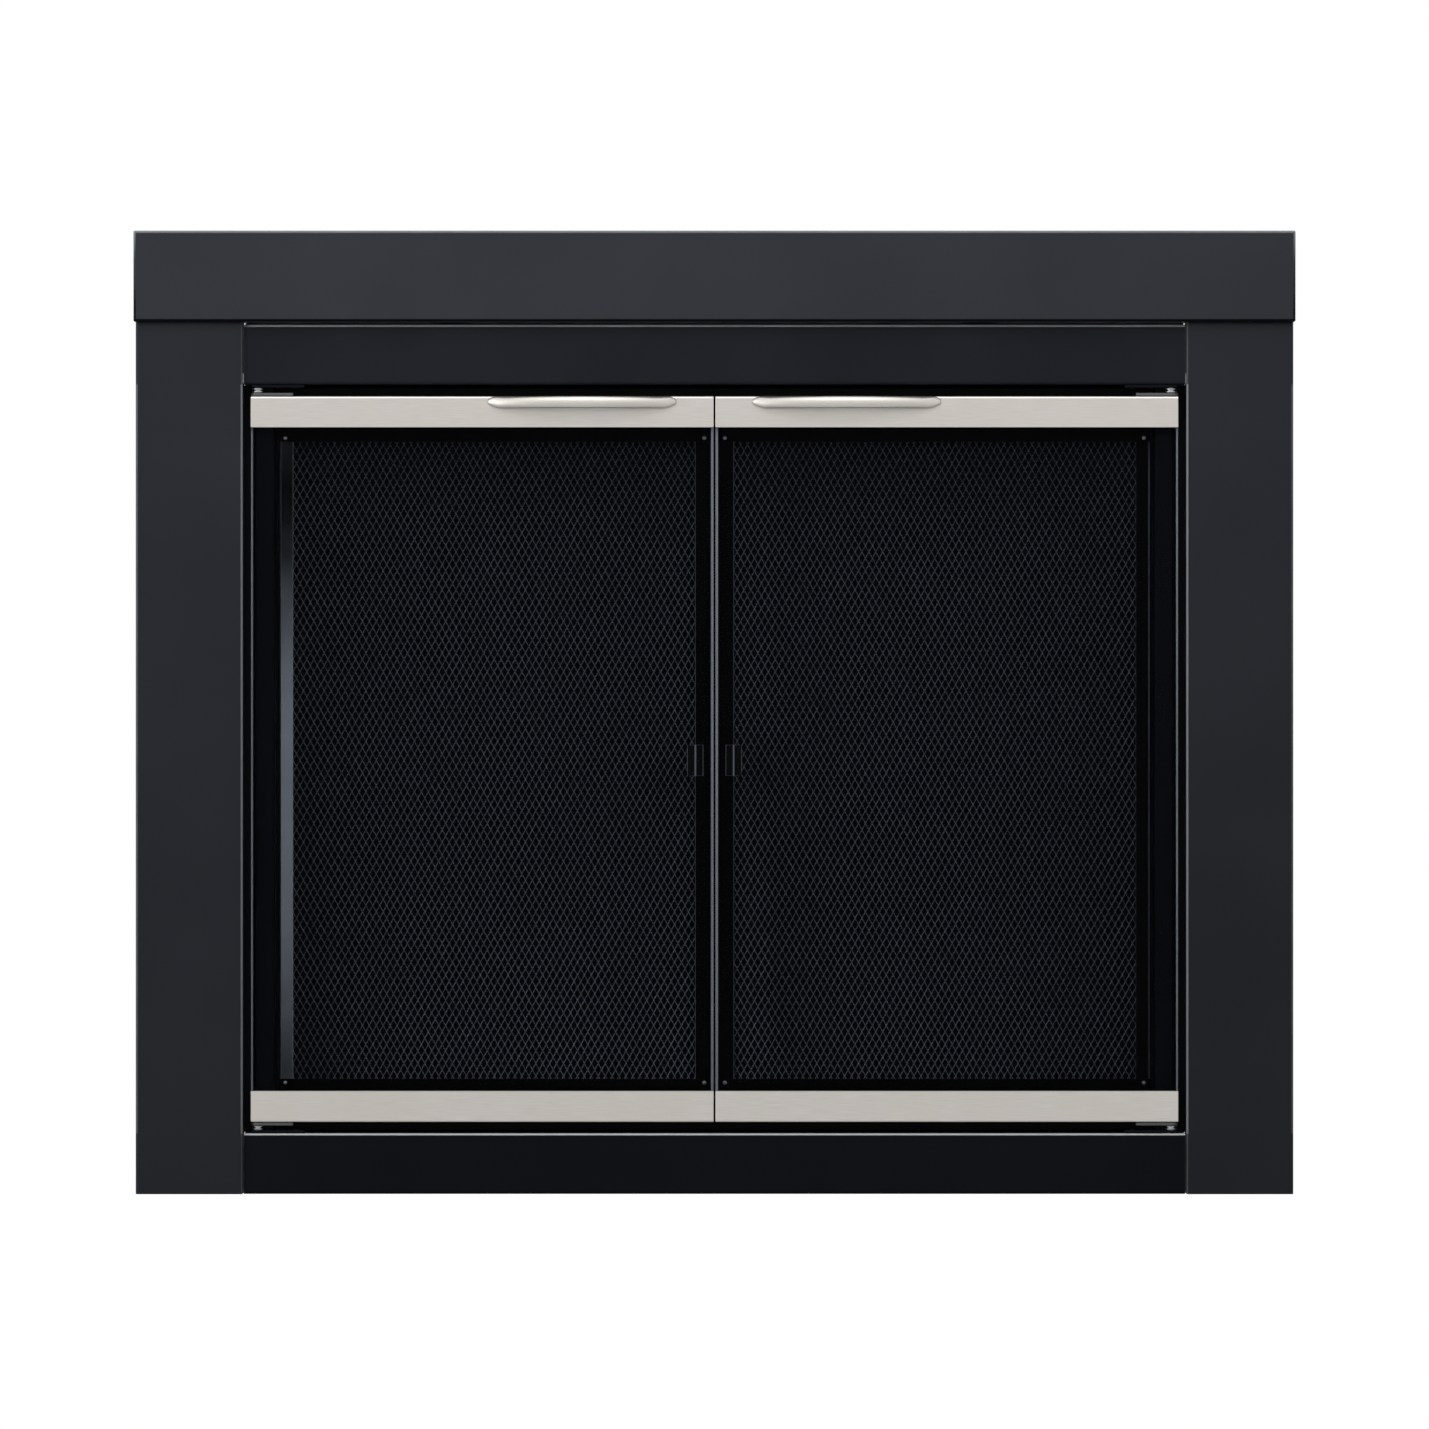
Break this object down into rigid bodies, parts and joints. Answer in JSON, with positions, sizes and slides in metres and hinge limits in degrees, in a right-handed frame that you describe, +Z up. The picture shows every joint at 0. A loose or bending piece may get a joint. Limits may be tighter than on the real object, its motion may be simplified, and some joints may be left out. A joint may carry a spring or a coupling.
{
  "type": "fireplace glass door",
  "caption": "Free-standing black steel fireplace surround with hinged glass doors in satin nickel trim bars and hinged mesh doors behind them.",
  "frame": {"origin": "on the hearth, on the centre line, halfway through the depth of the posts", "axes": "+X to the viewer's right, +Y into the fireplace, +Z up"},
  "size_m": [0.9524, 0.1508, 0.79],
  "materials": {
    "black_coat": "satin powder coat with a faint cool tone",
    "nickel": "satin nickel",
    "glass": "smoked tempered glass with ground edges",
    "black_net": "black expanded metal",
    "plated_steel": "zinc plated",
    "cushion_felt": "dense heat-proof felt"
  },
  "bodies": {
    "frame": {"header": "black_coat", "top_panel": "black_coat", "bottom_panel": "black_coat", "inner_top_rail": "black_coat", "inner_bottom_rail": "black_coat", "left_post": "black_coat", "left_jamb": "black_coat", "left_upper_corner_bracket": "plated_steel", "left_lower_corner_bracket": "plated_steel", "left_floor_bracket": "plated_steel", "left_lintel_clamp": "plated_steel", "left_lintel_clamp_bolt": "plated_steel", "left_upper_frame_hinge_leaf": "black_coat", "left_lower_frame_hinge_leaf": "black_coat", "right_post": "black_coat", "right_jamb": "black_coat", "right_upper_corner_bracket": "plated_steel", "right_lower_corner_bracket": "plated_steel", "right_floor_bracket": "plated_steel", "right_lintel_clamp": "plated_steel", "right_lintel_clamp_bolt": "plated_steel", "right_upper_frame_hinge_leaf": "black_coat", "right_lower_frame_hinge_leaf": "black_coat"},
    "left_glass_door": {"left_glass_pane": "glass", "left_glass_door_top_trim": "nickel", "left_glass_door_bottom_trim": "nickel", "left_glass_door_top_cushion": "cushion_felt", "left_glass_door_bottom_cushion": "cushion_felt", "left_glass_door_handle": "nickel", "left_glass_door_top_hinge_leaf": "black_coat", "left_glass_door_bottom_hinge_leaf": "black_coat", "left_glass_door_top_pin": "plated_steel", "left_glass_door_bottom_pin": "plated_steel"},
    "right_glass_door": {"right_glass_pane": "glass", "right_glass_door_top_trim": "nickel", "right_glass_door_bottom_trim": "nickel", "right_glass_door_top_cushion": "cushion_felt", "right_glass_door_bottom_cushion": "cushion_felt", "right_glass_door_handle": "nickel", "right_glass_door_top_hinge_leaf": "black_coat", "right_glass_door_bottom_hinge_leaf": "black_coat", "right_glass_door_top_pin": "plated_steel", "right_glass_door_bottom_pin": "plated_steel"},
    "left_mesh_door": {"left_mesh_door_top_rail": "black_coat", "left_mesh_door_bottom_rail": "black_coat", "left_mesh_door_outer_stile": "black_coat", "left_mesh_door_inner_stile": "black_coat", "left_mesh_door_net": "black_net", "left_mesh_door_pull": "black_coat", "left_mesh_door_top_pin": "plated_steel", "left_mesh_door_bottom_pin": "plated_steel"},
    "right_mesh_door": {"right_mesh_door_top_rail": "black_coat", "right_mesh_door_bottom_rail": "black_coat", "right_mesh_door_outer_stile": "black_coat", "right_mesh_door_inner_stile": "black_coat", "right_mesh_door_net": "black_net", "right_mesh_door_pull": "black_coat", "right_mesh_door_top_pin": "plated_steel", "right_mesh_door_bottom_pin": "plated_steel"}
  },
  "joints": [
    {"name": "left_glass_hinge", "type": "hinge", "parent": "frame", "child": "left_glass_door", "pos_m": [-0.375, -0.008, 0.35675], "axis": [0, 0, -1], "range_deg": [0, 110]},
    {"name": "left_mesh_hinge", "type": "hinge", "parent": "frame", "child": "left_mesh_door", "pos_m": [-0.3526, 0.017, 0.3557], "axis": [0, 0, -1], "range_deg": [0, 88]},
    {"name": "right_glass_hinge", "type": "hinge", "parent": "frame", "child": "right_glass_door", "pos_m": [0.375, -0.008, 0.35675], "axis": [0, 0, 1], "range_deg": [0, 110]},
    {"name": "right_mesh_hinge", "type": "hinge", "parent": "frame", "child": "right_mesh_door", "pos_m": [0.3526, 0.017, 0.3557], "axis": [0, 0, 1], "range_deg": [0, 88]}
  ],
  "couplings": [
    {"joint": "left_mesh_hinge", "follows": "left_glass_hinge", "ratio": 0.8},
    {"joint": "right_mesh_hinge", "follows": "right_glass_hinge", "ratio": 0.8}
  ]
}
